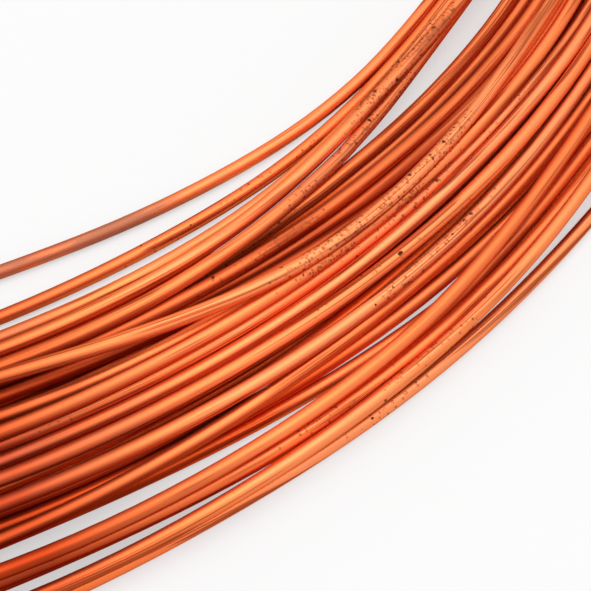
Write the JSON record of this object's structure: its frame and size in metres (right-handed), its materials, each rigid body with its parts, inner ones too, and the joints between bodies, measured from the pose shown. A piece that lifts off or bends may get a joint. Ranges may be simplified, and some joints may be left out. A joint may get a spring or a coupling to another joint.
{
  "type": "wire coil",
  "caption": "Loose coil of bare round copper wire lying flat, with an open bore; raw stock to be drawn off or cut to length.",
  "frame": {"origin": "centre of the bore, on the plane that the coil lies on", "axes": "+Z is the coil's axis, up from the resting face; +X and +Y are two radii at right angles"},
  "size_m": [0.3229, 0.323, 0.0084],
  "materials": {
    "copper_wire": "satin, bare and lightly tarnished"
  },
  "bodies": {
    "root": {"wire_coil": "copper_wire"}
  },
  "joints": []
}
